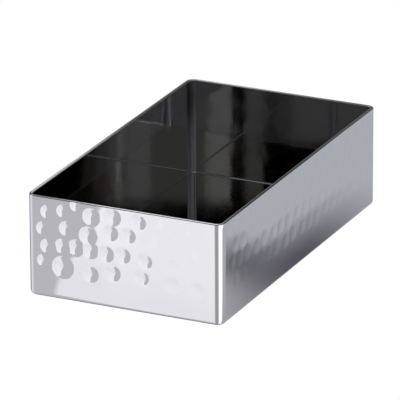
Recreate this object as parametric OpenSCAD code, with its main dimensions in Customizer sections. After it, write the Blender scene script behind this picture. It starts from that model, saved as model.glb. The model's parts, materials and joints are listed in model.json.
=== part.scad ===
// Hammered steel sugar packet holder: an open tray of five welded sheets that stands on its flat base.
// The origin is at the middle of the underside. X runs across the tray, Y along it, and Z up.

/* [Tray] */
// Width across the two long walls, outside
tray_w = 70; // [50:1:140]
// Length across the two short walls, outside
tray_l = 125; // [80:1:240]
// Height from the table to the rim
tray_h = 35; // [25:1:90]

/* [Sheet] */
// Thickness of the steel sheet
sheet_t = 1.2; // [0.8:0.1:2]
// Rounding of both edges of the rim
rim_r = 0.3; // [0.1:0.05:0.35]

/* [Weld seams] */
// Inside radius of the upright corner seams
corner_in_r = 1.8; // [1.2:0.1:5]
// Inside radius of the seams around the base
base_in_r = 0.4; // [0.2:0.1:1]

/* [Hammer marks] */
// Width of an ordinary hammer mark
mark_w = 5.6; // [3:0.1:8]
// Depth of an ordinary mark of the two short walls at its middle
short_wall_mark_depth = 0.27; // [0.1:0.01:0.4]
// Depth of an ordinary mark of the two long walls at its middle
long_wall_mark_depth = 0.12; // [0.05:0.01:0.4]
// Depth of the light marks at the right end of the front wall, at their middle
light_mark_depth = 0.08; // [0.05:0.01:0.4]
// How far along the front wall the light marks start, as a share of its length
light_from_share = 0.65; // [0.1:0.05:0.9]
// Spacing of the marks along a wall
mark_pitch = 6.5; // [5:0.1:12]
// Spacing of the rows of marks up a wall
row_pitch = 6.2; // [5:0.1:12]
// Height of the first row of marks below the rim
top_row_drop = 3.6; // [2:0.1:8]
// Plain band between the base seam and the lowest mark
plain_band = 5.5; // [3:0.1:12]
// How far a mark may wander from its place in the row
mark_wander = 0.9; // [0:0.1:1.5]

/* [Hidden] */
// Outside radii of the seams, which follow the sheet around
corner_r = corner_in_r + sheet_t;
base_r = base_in_r + sheet_t;
// Flat lengths of the walls, between the corner seams, and their height above the base seam
short_wall_l = tray_w - 2 * corner_r;
long_wall_l = tray_l - 2 * corner_r;
wall_h = tray_h - base_r;
// Height of the middle of the lowest mark that leaves the plain band free
low_mark_z = base_r + plain_band + mark_w / 2;
// How far a cutting form reaches past the face that it cuts
overrun = 0.05;
// Steps of the wandering marks: irrational shares of a turn, so that no two marks wander alike
along_step_share = 0.618;
up_step_share = 0.755;
size_step_share = 0.383;
// Least and greatest width of a wandering mark, as shares of the ordinary one
least_mark_share = 0.85;
most_mark_share = 1.1;
// The front wall's marks, each as the shares of its place along and up the wall, and of its width.
front_mark_shares = [
    [0.03, 0.80, 0.95], [0.13, 0.84, 0.85], [0.21, 0.95, 0.80], [0.30, 0.83, 1.00], [0.43, 0.88, 1.05],
    [0.59, 0.85, 1.00], [0.70, 0.90, 0.90], [0.81, 0.81, 0.95], [0.93, 0.88, 1.00],
    [0.00, 0.55, 0.95], [0.15, 0.60, 0.95], [0.28, 0.56, 1.05], [0.42, 0.65, 0.95], [0.53, 0.65, 0.95],
    [0.66, 0.62, 1.00], [0.78, 0.62, 0.90], [0.88, 0.70, 0.80], [0.96, 0.55, 0.95],
    [0.03, 0.32, 1.00], [0.12, 0.35, 0.95], [0.20, 0.36, 0.95], [0.29, 0.36, 1.00], [0.39, 0.35, 1.00],
    [0.49, 0.36, 1.00], [0.63, 0.33, 0.95], [0.80, 0.32, 1.00], [0.91, 0.38, 0.90],
    [0.00, 0.11, 0.85], [0.12, 0.07, 1.30], [0.29, 0.03, 1.00], [0.43, 0.09, 1.00], [0.61, 0.09, 0.95],
    [0.80, 0.06, 1.00], [0.95, 0.05, 1.00]
];
// Names of the separate pieces, and the one to draw
// Fineness of the round forms
$fn = 96;

// A number between minus one half and one half that changes with each mark
function wander(number, step_share) = (number * step_share) % 1 - 0.5;

// Radius of the hammer face that leaves an ordinary mark of a depth
function hammer_r(depth) = (mark_w * mark_w / 4 + depth * depth) / (2 * depth);

// The front wall's marks: [along from the wall's middle, height, width share, depth of an ordinary one]
function front_marks() = [
    for (m = front_mark_shares)
        [
            (m[0] - 0.5) * (short_wall_l - mark_w * most_mark_share),
            low_mark_z + m[1] * (tray_h - low_mark_z),
            m[2],
            m[0] < light_from_share ? short_wall_mark_depth : light_mark_depth
        ]
];

// The marks of another wall, as above, in staggered rows that wander a little
function row_marks(wall_l, depth) =
    let (
        room = wall_l - mark_w * most_mark_share - 2 * mark_wander,
        count = floor(room / mark_pitch),
        rows = 1 + floor((tray_h - top_row_drop - low_mark_z) / row_pitch)
    )
    [
        for (k = [0 : rows - 1]) for (i = [0 : count - k % 2])
            let (number = 1 + i + k * (count + 1))
            [
                (i + k % 2 / 2) * room / count - room / 2
                    + 2 * mark_wander * wander(number, along_step_share),
                tray_h - top_row_drop - k * row_pitch + mark_wander * wander(number, up_step_share),
                least_mark_share
                    + (most_mark_share - least_mark_share) * (0.5 + wander(number, size_step_share)),
                depth
            ]
    ];

// Cross-section of a wall from its foot up to the rounded rim, with its inner face at zero
module wall_section() {
    square([sheet_t, wall_h - rim_r]);
    translate([rim_r, 0]) square([sheet_t - 2 * rim_r, wall_h]);
    for (x = [rim_r, sheet_t - rim_r]) translate([x, wall_h - rim_r]) circle(r = rim_r);
}

// Cross-section of a base seam: a quarter of a ring below and outside its centre
module base_seam_section() {
    intersection() {
        difference() {
            circle(r = base_r);
            circle(r = base_in_r);
        }
        translate([0, -base_r]) square(base_r);
    }
}

// Turns a piece that faces +X to another side of the tray and moves it out to there
module on_side(turn, reach) {
    rotate([0, 0, turn]) translate([reach, 0, 0]) children();
}

// Draws a cross-section along Y, with the section's own height turned upright
module along_wall(length) {
    rotate([90, 0, 0]) linear_extrude(height = length, center = true) children();
}

// The end of the hammer's ball face as it stands in a mark, with a little of it left proud of the sheet
module hammer_face(width_share, depth) {
    rotate([0, 90, 0]) rotate_extrude() intersection() {
        translate([0, (hammer_r(depth) - depth) * width_share]) circle(r = hammer_r(depth) * width_share);
        translate([0, -depth * width_share]) square([mark_w, depth * width_share + overrun]);
    }
}

// A wall that faces +X, with its outer face at zero and its hammer marks cut from that face
module wall(length, marks) {
    difference() {
        translate([-sheet_t, 0, base_r]) along_wall(length) wall_section();
        for (m = marks) translate([0, m[0], m[1]]) hammer_face(m[2], m[3]);
    }
}

// A seam under a wall that faces +X, with its outermost line at zero
module base_seam(length) {
    translate([-base_r, 0, base_r]) along_wall(length) base_seam_section();
}

// The upright seam of the corner that faces +X and +Y, with the rounded foot below it
module corner_seam(turn, x, y) {
    translate([x * (tray_w / 2 - corner_r), y * (tray_l / 2 - corner_r), 0])
        rotate([0, 0, turn]) rotate_extrude(angle = 90) {
            translate([corner_in_r, base_r]) wall_section();
            translate([corner_r - base_r, base_r]) base_seam_section();
        }
}

module base_panel() {
    color("#8E9096") linear_extrude(height = sheet_t) {
        square([short_wall_l, tray_l - 2 * base_r], center = true);
        square([tray_w - 2 * base_r, long_wall_l], center = true);
        for (x = [-1, 1]) for (y = [-1, 1])
            translate([x * short_wall_l / 2, y * long_wall_l / 2]) circle(r = corner_r - base_r);
    }
}

module front_wall() {
    color("#D8D8DC") on_side(-90, tray_l / 2) wall(short_wall_l, front_marks());
}

module rear_wall() {
    color("#C9CACE")
        on_side(90, tray_l / 2) wall(short_wall_l, row_marks(short_wall_l, short_wall_mark_depth));
}

module left_wall() {
    color("#BFC1C6")
        on_side(180, tray_w / 2) wall(long_wall_l, row_marks(long_wall_l, long_wall_mark_depth));
}

module right_wall() {
    color("#9DA3AC")
        on_side(0, tray_w / 2) wall(long_wall_l, row_marks(long_wall_l, long_wall_mark_depth));
}

module front_left_corner_seam() {
    color("#E6E5EB") corner_seam(180, -1, -1);
}

module front_right_corner_seam() {
    color("#E6E5EB") corner_seam(270, 1, -1);
}

module rear_left_corner_seam() {
    color("#E6E5EB") corner_seam(90, -1, 1);
}

module rear_right_corner_seam() {
    color("#E6E5EB") corner_seam(0, 1, 1);
}

module front_base_seam() {
    color("#A09FA2") on_side(-90, tray_l / 2) base_seam(short_wall_l);
}

module rear_base_seam() {
    color("#A09FA2") on_side(90, tray_l / 2) base_seam(short_wall_l);
}

module left_base_seam() {
    color("#A09FA2") on_side(180, tray_w / 2) base_seam(long_wall_l);
}

module right_base_seam() {
    color("#A09FA2") on_side(0, tray_w / 2) base_seam(long_wall_l);
}

base_panel();
front_wall();
rear_wall();
left_wall();
right_wall();
front_left_corner_seam();
front_right_corner_seam();
rear_left_corner_seam();
rear_right_corner_seam();
front_base_seam();
rear_base_seam();
left_base_seam();
right_base_seam();
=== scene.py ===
"""Dresses a hammered stainless steel sugar packet holder and sets up the studio that it is seen in.

The holder is an open tray welded from five steel sheets. Its walls are hammered and then mirror polished, and
its seams are ground round and polished. Every piece is modelled in metres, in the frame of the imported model:
X runs across the tray, Y along it from front to rear, and Z up.
"""
import json
import logging
import math
from collections.abc import Callable, Iterator, Sequence
from contextlib import contextmanager
from dataclasses import KW_ONLY, dataclass
from enum import Enum

import bmesh
import bpy
from mathutils import Matrix, Vector

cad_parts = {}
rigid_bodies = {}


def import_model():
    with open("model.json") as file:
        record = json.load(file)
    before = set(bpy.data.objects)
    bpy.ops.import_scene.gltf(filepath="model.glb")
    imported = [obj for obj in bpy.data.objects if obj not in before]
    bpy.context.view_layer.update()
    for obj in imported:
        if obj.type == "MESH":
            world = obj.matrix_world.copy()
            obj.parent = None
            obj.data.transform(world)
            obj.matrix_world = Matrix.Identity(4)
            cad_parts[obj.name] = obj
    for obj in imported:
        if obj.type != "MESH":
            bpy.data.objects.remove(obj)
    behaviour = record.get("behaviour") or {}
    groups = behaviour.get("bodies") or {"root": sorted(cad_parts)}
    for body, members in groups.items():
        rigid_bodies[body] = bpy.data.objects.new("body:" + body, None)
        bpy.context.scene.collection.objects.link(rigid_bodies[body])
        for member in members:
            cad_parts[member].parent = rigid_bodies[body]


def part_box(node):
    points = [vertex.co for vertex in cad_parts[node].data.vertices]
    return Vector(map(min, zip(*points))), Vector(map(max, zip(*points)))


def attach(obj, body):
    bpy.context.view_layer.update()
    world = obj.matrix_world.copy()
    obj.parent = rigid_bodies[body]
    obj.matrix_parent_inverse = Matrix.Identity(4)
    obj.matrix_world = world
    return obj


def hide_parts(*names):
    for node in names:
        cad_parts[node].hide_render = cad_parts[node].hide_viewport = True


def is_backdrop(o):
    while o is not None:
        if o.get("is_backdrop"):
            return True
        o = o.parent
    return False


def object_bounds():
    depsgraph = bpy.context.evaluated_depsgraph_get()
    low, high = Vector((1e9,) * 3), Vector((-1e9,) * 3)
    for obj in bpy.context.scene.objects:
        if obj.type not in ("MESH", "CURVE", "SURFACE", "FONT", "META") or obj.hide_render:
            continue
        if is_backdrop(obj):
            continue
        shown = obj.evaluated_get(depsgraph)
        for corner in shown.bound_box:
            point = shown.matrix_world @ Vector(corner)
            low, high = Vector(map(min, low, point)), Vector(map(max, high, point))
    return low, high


LOG = logging.getLogger("sugar_packet_holder")
MM = 0.001
BODY = "root"
TINY = 0.01 * MM
MERGE_BELOW = 0.001 * MM
SMOOTH_BELOW = math.radians(40)
WHITE = "#FFFFFF"
BLACK = "#000000"


def linear(hex_colour: str) -> tuple[float, float, float, float]:
    """Turns an sRGB hex colour into linear red, green, blue and alpha.

    Args:
        hex_colour: The colour, such as "#D7D6DA".

    Returns:
        The linear colour, with an alpha of one.
    """
    shares = [int(hex_colour[i : i + 2], 16) / 255 for i in (1, 3, 5)]
    red, green, blue = (s / 12.92 if s <= 0.04045 else ((s + 0.055) / 1.055) ** 2.4 for s in shares)
    return red, green, blue, 1.0


def add_node(
    tree: bpy.types.NodeTree, kind: str, inputs: dict | None = None, **settings: object
) -> bpy.types.Node:
    """Adds a node with its settings and links.

    Args:
        tree: The node tree to add to.
        kind: The node's type name.
        inputs: For each input's name or number, a value, or the node or output that is linked to it.
        settings: The node's own properties.

    Returns:
        The new node.
    """
    node = tree.nodes.new(kind)
    for name, value in settings.items():
        setattr(node, name, value)
    for name, value in (inputs or {}).items():
        if isinstance(value, bpy.types.Node):
            value = value.outputs[0]
        if isinstance(value, bpy.types.NodeSocket):
            tree.links.new(value, node.inputs[name])
        else:
            node.inputs[name].default_value = value
    return node


def set_ramp(
    node: bpy.types.Node, stops: Sequence[tuple[float, str]], interpolation: str = "LINEAR"
) -> bpy.types.NodeSocket:
    """Gives a colour ramp its stops.

    Args:
        node: The colour ramp.
        stops: The place and the hex colour of each stop, in rising order.
        interpolation: How the colour goes from one stop to the next.

    Returns:
        The ramp's colour output.
    """
    ramp = node.color_ramp
    ramp.interpolation = interpolation
    while len(ramp.elements) < len(stops):
        ramp.elements.new(1.0)
    for element, (place, colour) in zip(ramp.elements, stops):
        element.position = place
        element.color = linear(colour)
    return node.outputs[0]


def new_tree(block: bpy.types.Material | bpy.types.World) -> bpy.types.NodeTree:
    """Switches a material or world to nodes and returns its tree, emptied."""
    block.use_nodes = True
    block.node_tree.nodes.clear()
    return block.node_tree


def deselect_all() -> None:
    """Deselects every object, so that the next operator acts on the new primitive alone."""
    bpy.ops.object.select_all(action="DESELECT")


@contextmanager
def editing(mode: str = "VERT") -> Iterator[None]:
    """Opens the active object in edit mode with nothing selected, and closes it afterwards."""
    bpy.ops.object.mode_set(mode="EDIT")
    bpy.ops.mesh.select_mode(type=mode)
    bpy.ops.mesh.select_all(action="DESELECT")
    yield
    bpy.ops.object.mode_set(mode="OBJECT")


def pick_verts(piece: bpy.types.Object, wanted: Callable[[Vector], bool]) -> None:
    """Selects, in edit mode, exactly those vertices whose place passes a test.

    Args:
        piece: The object in edit mode.
        wanted: Says of a vertex's place whether it is selected.
    """
    mesh = bmesh.from_edit_mesh(piece.data)
    for vert in mesh.verts:
        vert.select = wanted(vert.co)
    mesh.select_flush_mode()
    bmesh.update_edit_mesh(piece.data)


def pick_edges(piece: bpy.types.Object, wanted: Callable[[Vector, Vector], bool]) -> None:
    """Selects, in edit mode, exactly those edges whose two ends pass a test.

    Args:
        piece: The object in edit mode.
        wanted: Says of an edge's two ends whether it is selected.
    """
    mesh = bmesh.from_edit_mesh(piece.data)
    for vert in mesh.verts:
        vert.select = False
    for edge in mesh.edges:
        edge.select = wanted(edge.verts[0].co, edge.verts[1].co)
    mesh.select_flush_mode()
    bmesh.update_edit_mesh(piece.data)


def press(piece: bpy.types.Object, vert: int, move: Vector, radius: float, falloff: str) -> None:
    """Presses a round dent into the sheet that is in edit mode.

    Args:
        piece: The object in edit mode.
        vert: The number of the vertex at the dent's middle.
        move: How far, and which way, the middle moves.
        radius: The dent's radius.
        falloff: The dent's profile: INVERSE_SQUARE is a ball's dish, SMOOTH a soft wave.
    """
    mesh = bmesh.from_edit_mesh(piece.data)
    mesh.verts.ensure_lookup_table()
    mesh.verts[vert].select = True
    bmesh.update_edit_mesh(piece.data)
    bpy.ops.transform.translate(
        value=move,
        orient_type="GLOBAL",
        use_proportional_edit=True,
        proportional_edit_falloff=falloff,
        proportional_size=radius,
    )
    mesh = bmesh.from_edit_mesh(piece.data)
    mesh.verts.ensure_lookup_table()
    mesh.verts[vert].select = False
    bmesh.update_edit_mesh(piece.data)


def close_up(piece: bpy.types.Object) -> None:
    """Merges the doubles of a closed piece, turns its faces outward and shades its round stretches smooth."""
    with editing():
        bpy.ops.mesh.select_all(action="SELECT")
        bpy.ops.mesh.remove_doubles(threshold=MERGE_BELOW)
        bpy.ops.mesh.normals_make_consistent(inside=False)
    bpy.ops.object.shade_smooth_by_angle(angle=SMOOTH_BELOW)


class Side(Enum):
    """The sides of the tray. The value is the turn about Z that brings a wall that faces +X there."""

    RIGHT = 0
    REAR = 90
    LEFT = 180
    FRONT = -90


@dataclass(frozen=True)
class TraySizes:
    """The tray's sizes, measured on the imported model."""

    width: float
    length: float
    height: float
    sheet: float
    corner_r: float
    base_r: float
    rim_r: float = 0.3 * MM

    @classmethod
    def measured(cls, low: Vector, high: Vector) -> "TraySizes":
        """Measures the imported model.

        Args:
            low: The lowest corner of the whole tray.
            high: Its highest corner.

        Returns:
            The sizes, in metres.
        """
        panel_low, panel_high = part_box("base_panel")
        foot_low, foot_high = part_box("right_base_seam")
        wall_low, wall_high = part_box("front_wall")
        return cls(
            width=high.x - low.x,
            length=high.y - low.y,
            height=high.z - low.z,
            sheet=panel_high.z - panel_low.z,
            corner_r=(high.x - low.x - wall_high.x + wall_low.x) / 2,
            base_r=foot_high.z - foot_low.z,
        )

    def reach(self, side: Side) -> float:
        """Distance from the middle of the tray to the outer face of a side."""
        return (self.width if side in (Side.LEFT, Side.RIGHT) else self.length) / 2

    def flat_length(self, side: Side) -> float:
        """Length of a side's flat wall, between the corner seams."""
        return (self.length if side in (Side.LEFT, Side.RIGHT) else self.width) - 2 * self.corner_r


@dataclass(frozen=True)
class Stainless:
    """Polished stainless steel, which gives the eye a cold, clear mirror that is only as even as its finish.

    The lengths are in millimetres. Smudges dull the mirror where their noise lies between the two shares, and
    the grain is the fine unevenness that polishing leaves, long in the way that the mop ran.
    """

    name: str
    colour: str
    clearest: float
    dullest: float
    smudge_mm: float
    grain_mm: tuple[float, float, float]
    grain_depth_mm: float
    smudge_shares: tuple[float, float] = (0.35, 0.7)

    def material(self) -> bpy.types.Material:
        """Makes the finish as a material that reads Object coordinates."""
        steel = bpy.data.materials.new(self.name)
        tree = new_tree(steel)
        place = add_node(tree, "ShaderNodeTexCoord").outputs["Object"]
        smudges = add_node(
            tree,
            "ShaderNodeTexNoise",
            {"Vector": place, "Scale": 1 / (self.smudge_mm * MM), "Detail": 3.0, "Roughness": 0.6},
        )
        none, full = self.smudge_shares
        dullness = add_node(
            tree,
            "ShaderNodeMapRange",
            {"Value": smudges, 1: none, 2: full, 3: self.clearest, 4: self.dullest},
            interpolation_type="SMOOTHSTEP",
        )
        scales = [1 / (size * MM) for size in self.grain_mm]
        stretched = add_node(tree, "ShaderNodeMapping", {"Vector": place, "Scale": scales})
        grain = add_node(tree, "ShaderNodeTexNoise", {"Vector": stretched, "Scale": 1.0, "Detail": 2.0})
        depth = self.grain_depth_mm * MM
        bump = add_node(tree, "ShaderNodeBump", {"Height": grain, "Strength": 1.0, "Distance": depth})
        colour = linear(self.colour)
        shader = add_node(
            tree,
            "ShaderNodeBsdfPrincipled",
            {"Base Color": colour, "Metallic": 1.0, "Roughness": dullness, "Normal": bump},
        )
        add_node(tree, "ShaderNodeOutputMaterial", {"Surface": shader})
        return steel


# The hammered walls: a mirror over the marks, with a faint upright grain from the mop
HAMMERED_STEEL = Stainless(
    name="hammered_mirror_stainless",
    colour="#D7D6DA",
    clearest=0.01,
    dullest=0.04,
    smudge_mm=14.0,
    grain_mm=(1.6, 1.6, 9.0),
    grain_depth_mm=0.0006,
)
# The welds: the same steel, ground and then mopped up and down, so a little duller
DRESSED_WELD = Stainless(
    name="dressed_weld_stainless",
    colour="#D7D6DA",
    clearest=0.03,
    dullest=0.07,
    smudge_mm=8.0,
    grain_mm=(0.9, 0.9, 6.0),
    grain_depth_mm=0.0012,
)
# The welds' inner faces: ground with a fine wheel and left satin, so they take a soft light from all around
SATIN_WELD = Stainless(
    name="satin_weld_stainless",
    colour="#D7D6DA",
    clearest=0.16,
    dullest=0.21,
    smudge_mm=8.0,
    grain_mm=(0.9, 0.9, 6.0),
    grain_depth_mm=0.0012,
)
# The floor: a mirror that packets have rubbed along the tray
FLOOR_STEEL = Stainless(
    name="polished_stainless_floor",
    colour="#D2D1D5",
    clearest=0.03,
    dullest=0.06,
    smudge_mm=10.0,
    grain_mm=(1.2, 8.0, 1.2),
    grain_depth_mm=0.0015,
)


@dataclass(frozen=True)
class Mark:
    """A hammer mark, seen from outside: its place along and up the wall, its width and its depth."""

    along: float
    height: float
    width: float
    depth: float


@dataclass(frozen=True)
class HammerWork:
    """How the walls are hammered.

    The lengths are in metres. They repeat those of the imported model, but for the shallower long walls' marks.
    """

    width: float = 5.6 * MM
    short_wall_depth: float = 0.27 * MM
    long_wall_depth: float = 0.08 * MM
    light_depth: float = 0.08 * MM
    light_from_share: float = 0.65
    pitch: float = 6.5 * MM
    row_pitch: float = 6.2 * MM
    top_row_drop: float = 3.6 * MM
    plain_band: float = 5.5 * MM
    wander: float = 0.9 * MM
    along_step_share: float = 0.618
    up_step_share: float = 0.755
    size_step_share: float = 0.383
    least_share: float = 0.85
    most_share: float = 1.1
    # The front wall's marks: the shares of each one's place along and up the wall, and of its width
    front_shares: tuple[tuple[float, float, float], ...] = (
        (0.03, 0.80, 0.95), (0.13, 0.84, 0.85), (0.21, 0.95, 0.80), (0.30, 0.83, 1.00), (0.43, 0.88, 1.05),
        (0.59, 0.85, 1.00), (0.70, 0.90, 0.90), (0.81, 0.81, 0.95), (0.93, 0.88, 1.00),
        (0.00, 0.55, 0.95), (0.15, 0.60, 0.95), (0.28, 0.56, 1.05), (0.42, 0.65, 0.95), (0.53, 0.65, 0.95),
        (0.66, 0.62, 1.00), (0.78, 0.62, 0.90), (0.88, 0.70, 0.80), (0.96, 0.55, 0.95),
        (0.03, 0.32, 1.00), (0.12, 0.35, 0.95), (0.20, 0.36, 0.95), (0.29, 0.36, 1.00), (0.39, 0.35, 1.00),
        (0.49, 0.36, 1.00), (0.63, 0.33, 0.95), (0.80, 0.32, 1.00), (0.91, 0.38, 0.90),
        (0.00, 0.11, 0.85), (0.12, 0.07, 1.30), (0.29, 0.03, 1.00), (0.43, 0.09, 1.00), (0.61, 0.09, 0.95),
        (0.80, 0.06, 1.00), (0.95, 0.05, 1.00),
    )

    def lowest(self, sizes: TraySizes) -> float:
        """Height of the middle of the lowest mark that leaves the plain band free."""
        return sizes.base_r + self.plain_band + self.width / 2

    def front_marks(self, sizes: TraySizes) -> list[Mark]:
        """Places the front wall's marks."""
        room = sizes.flat_length(Side.FRONT) - self.width * self.most_share
        low = self.lowest(sizes)
        return [
            Mark(
                (along - 0.5) * room,
                low + up * (sizes.height - low),
                share * self.width,
                share * (self.short_wall_depth if along < self.light_from_share else self.light_depth),
            )
            for along, up, share in self.front_shares
        ]

    def row_marks(self, sizes: TraySizes, side: Side) -> list[Mark]:
        """Places the marks of another wall, in staggered rows that wander a little.

        Args:
            sizes: The tray's sizes.
            side: The wall's side.

        Returns:
            The wall's marks, from the top row down.
        """
        room = sizes.flat_length(side) - self.width * self.most_share - 2 * self.wander
        count = math.floor(room / self.pitch)
        rows = 1 + math.floor((sizes.height - self.top_row_drop - self.lowest(sizes)) / self.row_pitch)
        depth = self.long_wall_depth if side in (Side.LEFT, Side.RIGHT) else self.short_wall_depth
        marks = []
        for row in range(rows):
            for i in range(count - row % 2 + 1):
                number = 1 + i + row * (count + 1)
                along, up, size = (
                    number * step % 1 - 0.5
                    for step in (self.along_step_share, self.up_step_share, self.size_step_share)
                )
                share = self.least_share + (self.most_share - self.least_share) * (0.5 + size)
                marks.append(
                    Mark(
                        (i + row % 2 / 2) * room / count - room / 2 + 2 * self.wander * along,
                        sizes.height - self.top_row_drop - row * self.row_pitch + self.wander * up,
                        share * self.width,
                        share * depth,
                    )
                )
        return marks

    def marks(self, sizes: TraySizes, side: Side) -> list[Mark]:
        """Places the marks of a side's wall."""
        return self.front_marks(sizes) if side is Side.FRONT else self.row_marks(sizes, side)


@dataclass
class HammeredWall:
    """A wall: a sheet hammered over its outer face, with a rounded rim. It is modelled facing +X."""

    sizes: TraySizes
    side: Side
    work: HammerWork = HammerWork()
    cell: float = 0.4 * MM
    # How much of each mark shows on the inner face, and how strongly and how often polishing has smoothed it
    inner_share: float = 0.01
    inner_smoothing: float = 0.5
    inner_smoothings: int = 14
    # The soft waves that planishing leaves: their radius and depth, and the step from one to the next
    wave_radius: float = 11 * MM
    wave_depth: float = 0.07 * MM
    wave_pitch: float = 13 * MM
    # How far below the rim a wave's middle lies, as shares of its radius
    wave_drop_shares: tuple[float, float] = (0.2, 1.0)
    rim_steps: int = 4

    @property
    def name(self) -> str:
        """The name of the wall's piece."""
        return f"hammered_{self.side.name.lower()}_wall"

    def counts(self) -> tuple[int, int]:
        """How many cells the sheet has along and up."""
        length, height = self.sizes.flat_length(self.side), self.sizes.height - self.sizes.base_r
        return round(length / self.cell), round(height / self.cell)

    def nearest(self, along: float, height: float) -> int:
        """The number of the sheet's vertex that is nearest to a place on the wall."""
        length = self.sizes.flat_length(self.side)
        columns, rows = self.counts()
        column = round((along / length + 0.5) * columns)
        row = round((height - self.sizes.base_r) / (self.sizes.height - self.sizes.base_r) * rows)
        return min(max(row, 0), rows) * (columns + 1) + min(max(column, 0), columns)

    def sheet(self) -> bpy.types.Object:
        """Adds the flat sheet at its size and place."""
        columns, rows = self.counts()
        deselect_all()
        bpy.ops.mesh.primitive_grid_add(
            x_subdivisions=columns,
            y_subdivisions=rows,
            size=1,
            location=(0, 0, (self.sizes.height + self.sizes.base_r) / 2),
            rotation=(math.pi / 2, 0, math.pi / 2),
        )
        piece = bpy.context.object
        piece.name = self.name
        piece.scale = (self.sizes.flat_length(self.side), self.sizes.height - self.sizes.base_r, 1)
        bpy.ops.object.transform_apply(location=True, rotation=True, scale=True)
        return piece

    def hammer(self, piece: bpy.types.Object) -> None:
        """Presses the hammer marks, and the soft waves between them, into the sheet."""
        with editing():
            for mark in self.work.marks(self.sizes, self.side):
                place = self.nearest(mark.along, mark.height)
                press(piece, place, Vector((-mark.depth, 0, 0)), mark.width / 2, "INVERSE_SQUARE")
            room = self.sizes.flat_length(self.side) - 2 * self.wave_radius
            waves = math.ceil(room / self.wave_pitch)
            least, most = self.wave_drop_shares
            for i in range(waves + 1):
                share = (1 + i + self.side.value) * self.work.up_step_share % 1
                high = self.sizes.height - self.wave_radius * (least + (most - least) * share)
                place = self.nearest(i * room / waves - room / 2, high)
                press(piece, place, Vector((-self.wave_depth, 0, 0)), self.wave_radius, "SMOOTH")

    def thicken(self, piece: bpy.types.Object) -> None:
        """Gives the sheet its thickness and softens the marks on its inner face."""
        thick, foot = self.sizes.sheet, self.sizes.base_r
        end = self.sizes.flat_length(self.side) / 2
        inner_plane = Vector((-thick, 0, 0))
        with editing():
            bpy.ops.mesh.select_all(action="SELECT")
            bpy.ops.mesh.extrude_region_move(TRANSFORM_OT_translate={"value": inner_plane})
            bpy.ops.transform.resize(value=(self.inner_share, 1, 1), center_override=inner_plane)
            bpy.ops.mesh.select_less()
            bpy.ops.mesh.vertices_smooth(
                factor=self.inner_smoothing,
                repeat=self.inner_smoothings,
                xaxis=True,
                yaxis=False,
                zaxis=False,
            )
            pick_verts(
                piece,
                lambda p: p.x < -thick / 2 and (abs(p.y) > end - TINY or p.z < foot + TINY),
            )
            bpy.ops.transform.resize(value=(0, 1, 1), center_override=inner_plane)

    def round_rim(self, piece: bpy.types.Object) -> None:
        """Rounds both edges of the rim."""
        top = self.sizes.height
        with editing("EDGE"):
            pick_edges(
                piece,
                lambda a, b: min(a.z, b.z) > top - TINY and abs(a.y - b.y) > abs(a.x - b.x),
            )
            bpy.ops.mesh.bevel(
                offset=self.sizes.rim_r, segments=self.rim_steps, affect="EDGES", clamp_overlap=False
            )

    def build(self) -> bpy.types.Object:
        """Models the wall and turns it to its side."""
        piece = self.sheet()
        self.hammer(piece)
        self.thicken(piece)
        self.round_rim(piece)
        close_up(piece)
        turn = Matrix.Rotation(math.radians(self.side.value), 4, "Z")
        piece.data.transform(turn @ Matrix.Translation((self.sizes.reach(self.side), 0, 0)))
        return piece


@dataclass
class BaseSeam:
    """The dressed seam under a wall: a quarter of a ring, spun around the bend. It is modelled facing +X."""

    sizes: TraySizes
    side: Side
    steps: int = 12

    @property
    def name(self) -> str:
        """The name of the seam's piece."""
        return f"dressed_{self.side.name.lower()}_base_seam"

    def build(self) -> bpy.types.Object:
        """Models the seam and turns it to its side."""
        thick, bend = self.sizes.sheet, self.sizes.base_r
        deselect_all()
        bpy.ops.mesh.primitive_plane_add(size=1, location=(-thick / 2, 0, bend))
        piece = bpy.context.object
        piece.name = self.name
        piece.scale = (thick, self.sizes.flat_length(self.side), 1)
        bpy.ops.object.transform_apply(location=True, rotation=True, scale=True)
        with editing():
            bpy.ops.mesh.select_all(action="SELECT")
            bpy.ops.mesh.spin(
                steps=self.steps, angle=-math.pi / 2, center=(-bend, 0, bend), axis=(0, 1, 0)
            )
        close_up(piece)
        turn = Matrix.Rotation(math.radians(self.side.value), 4, "Z")
        piece.data.transform(turn @ Matrix.Translation((self.sizes.reach(self.side), 0, 0)))
        return piece


class Corner(Enum):
    """The corners of the tray. The value is the turn about Z that brings the rear right corner there."""

    REAR_RIGHT = 0
    REAR_LEFT = 90
    FRONT_LEFT = 180
    FRONT_RIGHT = 270


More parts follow.
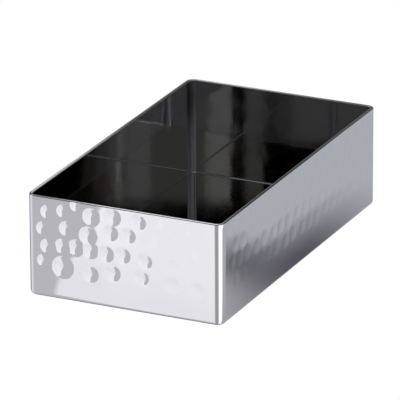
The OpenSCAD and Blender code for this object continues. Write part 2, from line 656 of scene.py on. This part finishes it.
@dataclass
class CornerSeam:
    """The dressed upright seam of a corner, with its rounded foot. It is modelled as the rear right one."""

    sizes: TraySizes
    corner: Corner
    steps: int = 32
    foot_steps: int = 12
    rim_steps: int = 4
    # The least cosine from the way inward at which a face counts as an inner one
    inner_from: float = 0.3

    @property
    def name(self) -> str:
        """The name of the seam's piece."""
        return f"dressed_{self.corner.name.lower()}_corner_seam"

    def section(self) -> bpy.types.Object:
        """Draws the seam's cross-section upright at Y zero, at its distance from the corner's axis."""
        outer, thick, bend = self.sizes.corner_r, self.sizes.sheet, self.sizes.base_r
        height = self.sizes.height
        deselect_all()
        bpy.ops.mesh.primitive_plane_add(
            size=1, location=(outer - thick / 2, 0, (height + bend) / 2), rotation=(math.pi / 2, 0, 0)
        )
        piece = bpy.context.object
        piece.name = self.name
        piece.scale = (thick, height - bend, 1)
        bpy.ops.object.transform_apply(location=True, rotation=True, scale=True)
        with editing():
            pick_verts(piece, lambda p: p.z > height - TINY)
            bpy.ops.mesh.bevel(
                offset=self.sizes.rim_r, segments=self.rim_steps, affect="VERTICES", clamp_overlap=False
            )
            pick_verts(piece, lambda p: p.z < bend + TINY)
            bpy.ops.mesh.spin(
                steps=self.foot_steps, angle=-math.pi / 2, center=(outer - bend, 0, bend), axis=(0, 1, 0)
            )
        return piece

    def build(self) -> bpy.types.Object:
        """Spins the section into the seam and turns it to its corner."""
        piece = self.section()
        with editing():
            bpy.ops.mesh.select_all(action="SELECT")
            bpy.ops.mesh.spin(steps=self.steps, angle=-math.pi / 2, center=(0, 0, 0), axis=(0, 0, 1))
        close_up(piece)
        across = self.corner in (Corner.REAR_RIGHT, Corner.FRONT_RIGHT)
        behind = self.corner in (Corner.REAR_RIGHT, Corner.REAR_LEFT)
        place = Matrix.Translation(
            (
                (1 if across else -1) * (self.sizes.width / 2 - self.sizes.corner_r),
                (1 if behind else -1) * (self.sizes.length / 2 - self.sizes.corner_r),
                0,
            )
        )
        piece.data.transform(place @ Matrix.Rotation(math.radians(self.corner.value), 4, "Z"))
        return piece

    def finish_inside(self, piece: bpy.types.Object, steel: bpy.types.Material) -> None:
        """Gives the seam's inner face a finish of its own.

        Args:
            piece: The seam in its place.
            steel: The finish.
        """
        piece.data.materials.append(steel)
        piece.active_material_index = 1
        inward = -Vector(piece.data.vertices[0].co)
        inward.z = 0
        inward.normalize()
        with editing("FACE"):
            mesh = bmesh.from_edit_mesh(piece.data)
            for face in mesh.faces:
                face.select = face.normal.dot(inward) > self.inner_from
            bmesh.update_edit_mesh(piece.data)
            bpy.ops.object.material_slot_assign()


@dataclass
class BasePanel:
    """The floor sheet that the tray stands on, with rounded corners inside the corner seams."""

    sizes: TraySizes
    name: str = "polished_base_panel"
    corner_steps: int = 8

    def build(self) -> bpy.types.Object:
        """Models the panel in place."""
        inset, thick = self.sizes.base_r, self.sizes.sheet
        half_w, half_l = self.sizes.width / 2 - inset, self.sizes.length / 2 - inset
        deselect_all()
        bpy.ops.mesh.primitive_cube_add(size=1, location=(0, 0, thick / 2))
        piece = bpy.context.object
        piece.name = self.name
        piece.scale = (2 * half_w, 2 * half_l, thick)
        bpy.ops.object.transform_apply(location=True, rotation=True, scale=True)
        with editing("EDGE"):
            pick_edges(piece, lambda a, b: abs(a.z - b.z) > thick / 2)
            bpy.ops.mesh.bevel(
                offset=self.sizes.corner_r - inset, segments=self.corner_steps, affect="EDGES"
            )
        close_up(piece)
        return piece


@dataclass
class Tray:
    """The whole tray: five sheets and the eight seams that join them."""

    sizes: TraySizes

    def dress(self, piece: bpy.types.Object, node: str, steel: bpy.types.Material) -> None:
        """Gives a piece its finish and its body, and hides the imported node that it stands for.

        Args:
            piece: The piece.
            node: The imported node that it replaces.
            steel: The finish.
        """
        piece.data.materials.clear()
        piece.data.materials.append(steel)
        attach(piece, BODY)
        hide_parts(node)
        LOG.info("%s: %d faces, for %s", piece.name, len(piece.data.polygons), node)

    def build(self) -> None:
        """Builds and dresses every piece."""
        hammered, dressed, satin = (
            finish.material() for finish in (HAMMERED_STEEL, DRESSED_WELD, SATIN_WELD)
        )
        for side in Side:
            wall, seam = HammeredWall(self.sizes, side), BaseSeam(self.sizes, side)
            self.dress(wall.build(), f"{side.name.lower()}_wall", hammered)
            self.dress(seam.build(), f"{side.name.lower()}_base_seam", dressed)
        for corner in Corner:
            seam = CornerSeam(self.sizes, corner)
            piece = seam.build()
            self.dress(piece, f"{corner.name.lower()}_corner_seam", dressed)
            seam.finish_inside(piece, satin)
        panel = BasePanel(self.sizes)
        self.dress(panel.build(), "base_panel", FLOOR_STEEL.material())


@dataclass(frozen=True)
class Camera:
    """The photograph's camera: a long lens, a little above the tray and to the right of its front."""

    azimuth_deg: float = 25.12
    elevation_deg: float = 20.66
    roll_deg: float = -0.264
    distance: float = 1.751
    target: tuple[float, float, float] = (-0.98 * MM, -2.07 * MM, 17.5 * MM)
    focal_px: float = 5261
    image_px: float = 400
    sensor_mm: float = 36
    clip: tuple[float, float] = (0.05, 50.0)

    def place(self) -> None:
        """Makes the camera and gives it to the scene."""
        azimuth, elevation, roll = (
            math.radians(a) for a in (self.azimuth_deg, self.elevation_deg, self.roll_deg)
        )
        back = Vector(
            (
                math.sin(azimuth) * math.cos(elevation),
                -math.cos(azimuth) * math.cos(elevation),
                math.sin(elevation),
            )
        )
        level_right = (-back).cross(Vector((0, 0, 1))).normalized()
        level_up = level_right.cross(-back)
        right = level_right * math.cos(roll) + level_up * math.sin(roll)
        up = level_up * math.cos(roll) - level_right * math.sin(roll)
        deselect_all()
        bpy.ops.object.camera_add()
        camera = bpy.context.object
        camera.name = "studio_camera"
        turn = Matrix((right, up, back)).transposed().to_4x4()
        camera.matrix_world = Matrix.Translation(Vector(self.target) + back * self.distance) @ turn
        camera.data.sensor_fit = "HORIZONTAL"
        camera.data.sensor_width = self.sensor_mm
        camera.data.lens = self.focal_px / self.image_px * self.sensor_mm
        camera.data.clip_start, camera.data.clip_end = self.clip
        bpy.context.scene.camera = camera


def turn_share(heading_deg: float) -> float:
    """Place on a radial gradient of a heading, which is counted in degrees from -Y towards +X."""
    return (heading_deg / 360 + 0.25) % 1


def add_card(
    name: str,
    stuff: str,
    middle: tuple[float, float, float],
    size: tuple[float, float],
    rotation: tuple[float, float, float] = (0.0, 0.0, 0.0),
) -> tuple[bpy.types.NodeTree, bpy.types.NodeSocket]:
    """Args:
        name: The card's name.
        stuff: What its face is made of, for its material's name.
        middle: Its middle, in millimetres.
        size: Its width and height, in millimetres.
        rotation: How it is turned from lying flat, in radians.

    Returns:
        The node tree of its face, and the Object coordinates in it.
    """
    deselect_all()
    bpy.ops.mesh.primitive_plane_add(size=1, location=Vector(middle) * MM, rotation=rotation)
    card = bpy.context.object
    card.name = name
    card.scale = (size[0] * MM, size[1] * MM, 1)
    bpy.ops.object.transform_apply(location=True, rotation=True, scale=True)
    card.visible_camera = False
    card.visible_diffuse = False
    card.visible_shadow = False
    card.visible_transmission = False
    card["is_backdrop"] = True
    face = bpy.data.materials.new(f"{name}_{stuff}")
    card.data.materials.append(face)
    tree = new_tree(face)
    return tree, add_node(tree, "ShaderNodeTexCoord").outputs["Object"]


@dataclass(frozen=True)
class Pool:
    """A soft pool of shade on a card: its middle, half lengths and turn, in millimetres and degrees."""

    middle: tuple[float, float]
    half: tuple[float, float]
    turn_deg: float
    most: float

    def share(self, tree: bpy.types.NodeTree, place: bpy.types.NodeSocket) -> bpy.types.NodeSocket:
        """Adds the nodes that rise from zero at the pool's edge to its most at the middle.

        Args:
            tree: The card's node tree.
            place: The Object coordinates.

        Returns:
            The output that holds the share.
        """
        centred = add_node(
            tree,
            "ShaderNodeMapping",
            {
                "Vector": place,
                "Location": (self.middle[0] * MM, self.middle[1] * MM, 0),
                "Rotation": (0, 0, math.radians(self.turn_deg)),
                "Scale": (self.half[0] * MM, self.half[1] * MM, 1),
            },
            vector_type="TEXTURE",
        )
        fall = add_node(tree, "ShaderNodeTexGradient", {"Vector": centred}, gradient_type="SPHERICAL")
        rise = add_node(
            tree,
            "ShaderNodeMapRange",
            {"Value": fall.outputs[1], 1: 0.0, 2: 1.0, 3: 0.0, 4: self.most},
            interpolation_type="SMOOTHSTEP",
        )
        return rise.outputs[0]


class Cloth(Enum):
    """The cloths that the screens are sewn from, from the darkest to the lightest."""

    BLACK = "#010101"
    SOOT = "#17140F"
    UMBER = "#37322D"
    SLATE = "#4E4F49"
    ASH = "#656660"
    STONE = "#76776F"
    PEARL = "#8B8C83"


@dataclass(frozen=True)
class UprightCard:
    """An upright card that stands around the tray and faces it.

    The heading is in degrees, counted from -Y towards +X, and the lengths are in millimetres. Places across
    the card are counted from its middle, and rise from its right end to its left as seen from the tray.
    """

    name: str
    heading_deg: float
    _: KW_ONLY
    distance: float = 450
    half_width: float = 75
    foot: float = 120
    top: float = 330

    def stand(self, stuff: str) -> tuple[bpy.types.NodeTree, bpy.types.NodeSocket, bpy.types.NodeSocket]:
        """Stands the card in its place.

        Args:
            stuff: What its face is made of.

        Returns:
            The node tree of its face, and the outputs that hold the place across it and the height.
        """
        heading = math.radians(self.heading_deg)
        sine, cosine = math.sin(heading), math.cos(heading)
        middle = (self.distance * sine, -self.distance * cosine, (self.foot + self.top) / 2)
        size = (2 * self.half_width, self.top - self.foot)
        tree, place = add_card(self.name, stuff, middle, size, (math.pi / 2, 0, heading))
        across = {0: place, 1: (cosine, sine, 0)}
        along = add_node(tree, "ShaderNodeVectorMath", across, operation="DOT_PRODUCT")
        height = add_node(tree, "ShaderNodeSeparateXYZ", {0: place})
        return tree, along.outputs["Value"], height.outputs["Z"]


@dataclass(frozen=True)
class Screen(UprightCard):
    """A screen of lighter and darker stripes, lit up to a height, which the polished inside mirrors.

    A stripe is the place across the screen where it starts, and its cloth.
    """

    lit_height: float
    stripes: tuple[tuple[float, Cloth], ...]
    soft: float = 4.0

    def build(self) -> None:
        """Stands the screen and sews its stripes."""
        tree, along, height = self.stand("cloth")
        reach = self.half_width * MM
        share = add_node(tree, "ShaderNodeMapRange", {"Value": along, 1: -reach, 2: reach, 3: 0.0, 4: 1.0})
        stops = [((start / self.half_width + 1) / 2, strip.value) for start, strip in self.stripes]
        stripes = set_ramp(add_node(tree, "ShaderNodeValToRGB", {0: share}), stops, "CONSTANT")
        low, high = (self.lit_height - self.soft) * MM, (self.lit_height + self.soft) * MM
        lit = add_node(
            tree,
            "ShaderNodeMapRange",
            {"Value": height, 1: low, 2: high, 3: 1.0, 4: 0.0},
            interpolation_type="SMOOTHSTEP",
        )
        glow = add_node(tree, "ShaderNodeEmission", {"Color": stripes, "Strength": lit})
        add_node(tree, "ShaderNodeOutputMaterial", {"Surface": glow})


@dataclass(frozen=True)
class RimCard(UprightCard):
    """A white card behind the tray on the left, whose foot is cut to a gable.

    The rim mirrors the card right above its foot, and the polished inside mirrors what lies under the gable,
    so the front rim is white and the inside stays dark.
    """

    name: str = "rim_card"
    heading_deg: float = 205.12
    half_width: float = 66
    top: float = 420
    # The gable's peak, as its place across the card and its height, and the slopes of both its sides
    ridge: tuple[float, float] = (-5.0, 230.0)
    slopes: tuple[float, float] = (0.80, -0.178)
    under: str = "#72746F"
    # How white the card is behind the right rim and behind the front rim, and where it changes
    strength: tuple[float, float] = (0.04, 1.5)
    dimmer: tuple[float, float] = (-18, -4)

    def build(self) -> None:
        """Stands the card and cuts its foot."""
        tree, along, height = self.stand("board")
        middle, peak = self.ridge
        eaves = [
            add_node(
                tree,
                "ShaderNodeMath",
                {0: along, 1: slope, 2: (peak - slope * middle) * MM},
                operation="MULTIPLY_ADD",
            ).outputs[0]
            for slope in self.slopes
        ]
        gable = add_node(tree, "ShaderNodeMath", {0: eaves[0], 1: eaves[1]}, operation="MINIMUM")
        shown = add_node(tree, "ShaderNodeMath", {0: height, 1: gable}, operation="GREATER_THAN")
        start, end = (place * MM for place in self.dimmer)
        dim, full = self.strength
        fade = add_node(tree, "ShaderNodeMapRange", {"Value": along, 1: start, 2: end, 3: dim, 4: full})
        glow = add_node(tree, "ShaderNodeEmission", {"Color": linear(WHITE), "Strength": fade})
        dark = add_node(tree, "ShaderNodeEmission", {"Color": linear(self.under), "Strength": 1.0})
        shader = add_node(tree, "ShaderNodeMixShader", {0: shown, 1: dark, 2: glow})
        add_node(tree, "ShaderNodeOutputMaterial", {"Surface": shader})


@dataclass(frozen=True)
class FrontCard:
    """The upright white card before the tray, on which the marks' halves part into light and grey.

    The lengths are in millimetres. The card reaches far below the floor, which the steel looks through.
    """

    low: tuple[float, float] = (-150, -190)
    high: tuple[float, float] = (12, 34)
    ahead_y: float = -192.5
    # Where the card's uneven left edge stands low down and high up, and the heights that it steps between
    edge: tuple[float, float] = (-90.7, -70)
    step: tuple[float, float] = (-58, -14)
    soft: float = 1.2
    # The size of the clouds in its white, and how far, and between which heights, it brightens upwards
    cloud: float = 40.0
    rise_share: float = 0.4
    rise: tuple[float, float] = (-54, -19)
    # The light up to which it stays dim, and its two whites
    dim_share: float = 0.4
    dim: str = "#DCDCDD"
    bright: str = "#E9E9EA"
    strength: float = 1.55

    def build(self) -> None:
        """Stands the card."""
        (left, foot), (right, top) = self.low, self.high
        tree, place = add_card(
            "front_card",
            "board",
            ((left + right) / 2, self.ahead_y, (foot + top) / 2),
            (right - left, top - foot),
            (math.pi / 2, 0, 0),
        )
        across = add_node(tree, "ShaderNodeSeparateXYZ", {0: place})
        step_low, step_high, edge_low, edge_high = (length * MM for length in self.step + self.edge)
        edge = add_node(
            tree,
            "ShaderNodeMapRange",
            {"Value": across.outputs["Z"], 1: step_low, 2: step_high, 3: edge_low, 4: edge_high},
            interpolation_type="SMOOTHSTEP",
        )
        inside = add_node(tree, "ShaderNodeMath", {0: across.outputs["X"], 1: edge}, operation="SUBTRACT")
        soft = self.soft * MM
        shown = add_node(tree, "ShaderNodeMapRange", {"Value": inside, 1: -soft, 2: soft, 3: 0.0, 4: 1.0})
        clouds = add_node(
            tree, "ShaderNodeTexNoise", {"Vector": place, "Scale": 1 / (self.cloud * MM), "Detail": 1.0}
        )
        low, high = (height * MM for height in self.rise)
        rise = add_node(
            tree,
            "ShaderNodeMapRange",
            {"Value": across.outputs["Z"], 1: low, 2: high, 3: 0.0, 4: self.rise_share},
        )
        light = add_node(tree, "ShaderNodeMath", {0: rise, 1: clouds}, operation="ADD")
        stops = [(self.dim_share, self.dim), (1.0, self.bright)]
        tint = set_ramp(add_node(tree, "ShaderNodeValToRGB", {0: light}), stops)
        glow = add_node(tree, "ShaderNodeEmission", {"Color": tint, "Strength": self.strength})
        clear = add_node(tree, "ShaderNodeBsdfTransparent")
        shader = add_node(tree, "ShaderNodeMixShader", {0: shown, 1: clear, 2: glow})
        add_node(tree, "ShaderNodeOutputMaterial", {"Surface": shader})


@dataclass(frozen=True)
class SideCard:
    """The glowing blue-grey card beside the right wall, with the tray's own soft shadow painted on it.

    Only the steel sees it: its colours are a painted reflection of the floor there. The lengths are in
    millimetres.
    """

    low: tuple[float, float] = (35, -62)
    high: tuple[float, float] = (190, 330)
    # The card's colours at its near and far ends, and where one turns into the other
    near: str = "#C3C3C6"
    far: str = "#C2C8CC"
    turn: tuple[float, float] = (-40, 10)
    # The colour of the tray's painted shadow, and the pools in which it is painted
    shade: str = "#5F5D65"
    pools: tuple[Pool, ...] = (Pool((37, 4), (23, 85), -5, 0.98), Pool((53, -8), (24, 34), -20, 0.8))

    def build(self) -> None:
        """Lays the card."""
        (left, front), (right, back) = self.low, self.high
        middle = ((left + right) / 2, (front + back) / 2, 0)
        tree, place = add_card("side_card", "board", middle, (right - left, back - front))
        length = add_node(tree, "ShaderNodeSeparateXYZ", {0: place}).outputs["Y"]
        start, end = (y * MM for y in self.turn)
        far = add_node(
            tree,
            "ShaderNodeMapRange",
            {"Value": length, 1: start, 2: end, 3: 0.0, 4: 1.0},
            interpolation_type="SMOOTHSTEP",
        )
        ends = {0: far, 6: linear(self.near), 7: linear(self.far)}
        colour = add_node(tree, "ShaderNodeMix", ends, data_type="RGBA").outputs[2]
        # The tray's soft shadow, painted on as pools of the shade colour
        for pool in self.pools:
            shaded = {0: pool.share(tree, place), 6: colour, 7: linear(self.shade)}
            colour = add_node(tree, "ShaderNodeMix", shaded, data_type="RGBA").outputs[2]
        glow = add_node(tree, "ShaderNodeEmission", {"Color": colour, "Strength": 1.0})
        add_node(tree, "ShaderNodeOutputMaterial", {"Surface": glow})


@dataclass(frozen=True)
class Studio:
    """A plain pale floor and a soft studio around it, which the steel mirrors.

    Headings are in degrees from -Y towards +X, and heights are the sines of the angles above the horizon.
    """

    floor_size: float = 8.0
    floor_drop: float = 0.1 * MM
    floor_colour: str = "#E4E4E6"
    # What the steel sees below the horizon, by heading, and how strong it is at two heights
    below: tuple[tuple[float, str], ...] = (
        (-90, "#C9CCD2"), (-62, "#C9CCD2"), (-54, "#AEAEAF"), (-10, "#AEAEAF"), (10, "#8E8C8D"),
        (36, "#9A989A"), (46, WHITE), (124, WHITE), (138, "#989EA6"),
        (176, "#989EA6"), (184, "#AAA9AC"), (205, "#69696B"), (250, "#69696B"), (262, "#C9CCD2"),
    )
    below_heights: tuple[float, float] = (-0.95, -0.7)
    below_strengths: tuple[float, float] = (1.12, 1.6)
    # What it sees above the horizon, by height, away from the white cloth high on the left
    above: tuple[tuple[float, str], ...] = (
        (0.0, "#A6A9AE"), (0.12, "#9A9CA1"), (0.2, "#7C7D7B"), (0.4, "#5C5C5B"),
        (0.6, "#3A3A3A"), (1.0, "#3A3A3A"),
    )
    horizon_blur: float = 0.03
    # Where the white cloth hangs, by heading and by height
    cloth_headings: tuple[tuple[float, str], ...] = (
        (182, BLACK), (190, WHITE), (292, WHITE), (302, BLACK),
    )
    cloth_heights: tuple[tuple[float, str], ...] = (
        (0.54, BLACK), (0.64, WHITE), (0.76, WHITE), (0.84, BLACK),
    )
    # The soft box, in metres and watts
    lamp_place: tuple[float, float, float] = (-0.1, 0.1, 1.2)
    lamp_size: float = 1.4
    lamp_power: float = 1.4
    # Their stripes follow the tones across the photograph's inside, with both places and shades rounded
    screens: tuple[Screen, ...] = (
        Screen(
            "screen_front_right", 25.1, 209,
            (
                (-75, Cloth.BLACK), (-36, Cloth.SLATE), (-28, Cloth.SOOT), (-21.5, Cloth.STONE),
                (-10, Cloth.SLATE), (15, Cloth.ASH), (25.5, Cloth.SLATE), (28.5, Cloth.PEARL),
                (30, Cloth.SLATE), (34, Cloth.UMBER), (41, Cloth.SOOT),
            ),
        ),
        Screen(
            "screen_front_left", -25.1, 330,
            (
                (-75, Cloth.BLACK), (15, Cloth.UMBER), (21, Cloth.SLATE), (26, Cloth.ASH),
                (31, Cloth.PEARL), (33, Cloth.ASH), (35, Cloth.STONE), (47, Cloth.ASH),
            ),
        ),
        Screen(
            "screen_rear_right", 154.9, 222,
            (
                (-75, Cloth.STONE), (-67, Cloth.ASH), (-40, Cloth.PEARL), (-29.5, Cloth.SOOT),
                (-23.5, Cloth.ASH), (-13, Cloth.SOOT), (-10, Cloth.SLATE), (-4, Cloth.SOOT),
                (-2.5, Cloth.ASH),
            ),
        ),
    )

    def build_floor(self) -> None:
        """Lays the floor, which is pure white to the eye and clear to the steel and from below."""
        deselect_all()
        bpy.ops.mesh.primitive_plane_add(size=self.floor_size, location=(0, 0, -self.floor_drop))
        floor = bpy.context.object
        floor.name = "studio_floor"
        bpy.ops.object.transform_apply(location=True, rotation=True, scale=True)
        paper = bpy.data.materials.new("studio_floor_paper")
        tree = new_tree(paper)
        ray = add_node(tree, "ShaderNodeLightPath")
        lit = add_node(tree, "ShaderNodeBsdfDiffuse", {"Color": linear(self.floor_colour)})
        seen = add_node(tree, "ShaderNodeEmission", {"Color": linear(WHITE), "Strength": 1.0})
        clear = add_node(tree, "ShaderNodeBsdfTransparent")
        below = add_node(tree, "ShaderNodeNewGeometry").outputs["Backfacing"]
        upper = add_node(
            tree, "ShaderNodeMixShader", {0: ray.outputs["Is Camera Ray"], 1: lit, 2: seen}
        )
        shader = add_node(tree, "ShaderNodeMixShader", {0: below, 1: upper, 2: clear})
        add_node(tree, "ShaderNodeOutputMaterial", {"Surface": shader})
        floor.data.materials.append(paper)
        floor.visible_glossy = False
        floor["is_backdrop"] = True

    def build_world(self) -> None:
        """Makes the world: white to the eye, and to the steel a dark studio over a pale ground."""
        world = bpy.data.worlds.new("studio_world")
        bpy.context.scene.world = world
        tree = new_tree(world)
        ray = add_node(tree, "ShaderNodeLightPath")
        direction = add_node(tree, "ShaderNodeTexCoord").outputs["Generated"]
        height = add_node(tree, "ShaderNodeSeparateXYZ", {0: direction}).outputs["Z"]
        heading = add_node(
            tree, "ShaderNodeTexGradient", {"Vector": direction}, gradient_type="RADIAL"
        ).outputs[1]
        ground, across = (
            set_ramp(
                add_node(tree, "ShaderNodeValToRGB", {0: heading}),
                sorted((turn_share(degrees), colour) for degrees, colour in stops),
            )
            for stops in (self.below, self.cloth_headings)
        )
        sky, upward = (
            set_ramp(add_node(tree, "ShaderNodeValToRGB", {0: height}), stops)
            for stops in (self.above, self.cloth_heights)
        )
        cloth = add_node(tree, "ShaderNodeMath", {0: across, 1: upward}, operation="MULTIPLY")
        above = add_node(tree, "ShaderNodeMix", {0: cloth, 6: sky, 7: linear(WHITE)}, data_type="RGBA")
        (lowest, lower), (weak, strong) = self.below_heights, self.below_strengths
        strength = add_node(
            tree,
            "ShaderNodeMapRange",
            {"Value": height, 1: lowest, 2: lower, 3: weak, 4: strong},
            interpolation_type="SMOOTHSTEP",
        )
        low = add_node(tree, "ShaderNodeBackground", {"Color": ground, "Strength": strength})
        high = add_node(tree, "ShaderNodeBackground", {"Color": above.outputs[2], "Strength": 1.0})
        horizon = add_node(
            tree,
            "ShaderNodeMapRange",
            {"Value": height, 1: 0.0, 2: self.horizon_blur, 3: 0.0, 4: 1.0},
            interpolation_type="SMOOTHSTEP",
        )
        mirrored = add_node(tree, "ShaderNodeMixShader", {0: horizon, 1: low, 2: high})
        plain = add_node(tree, "ShaderNodeBackground", {"Color": linear(WHITE), "Strength": 1.0})
        shader = add_node(
            tree, "ShaderNodeMixShader", {0: ray.outputs["Is Glossy Ray"], 1: plain, 2: mirrored}
        )
        add_node(tree, "ShaderNodeOutputWorld", {"Surface": shader})

    def build_lamp(self) -> None:
        """Hangs a square soft box that faces the tray."""
        place = Vector(self.lamp_place)
        deselect_all()
        bpy.ops.object.light_add(type="AREA", location=place)
        lamp = bpy.context.object
        lamp.name = "overhead_soft_box"
        lamp.data.shape = "SQUARE"
        lamp.data.size = self.lamp_size
        lamp.data.energy = self.lamp_power
        lamp.rotation_euler = place.to_track_quat("Z", "Y").to_euler()

    def build(self) -> None:
        """Builds the floor, the cards and screens, the world and the lamp."""
        self.build_floor()
        for card in (FrontCard(), SideCard(), *self.screens, RimCard()):
            card.build()
        self.build_world()
        self.build_lamp()
        bpy.context.scene.view_settings.view_transform = "Standard"


def main() -> None:
    """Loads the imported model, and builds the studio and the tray."""
    logging.basicConfig(level=logging.INFO, format="%(message)s")
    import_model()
    cad_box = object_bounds()
    Camera().place()
    Studio().build()
    Tray(TraySizes.measured(*cad_box)).build()


if __name__ == "__main__":
    main()
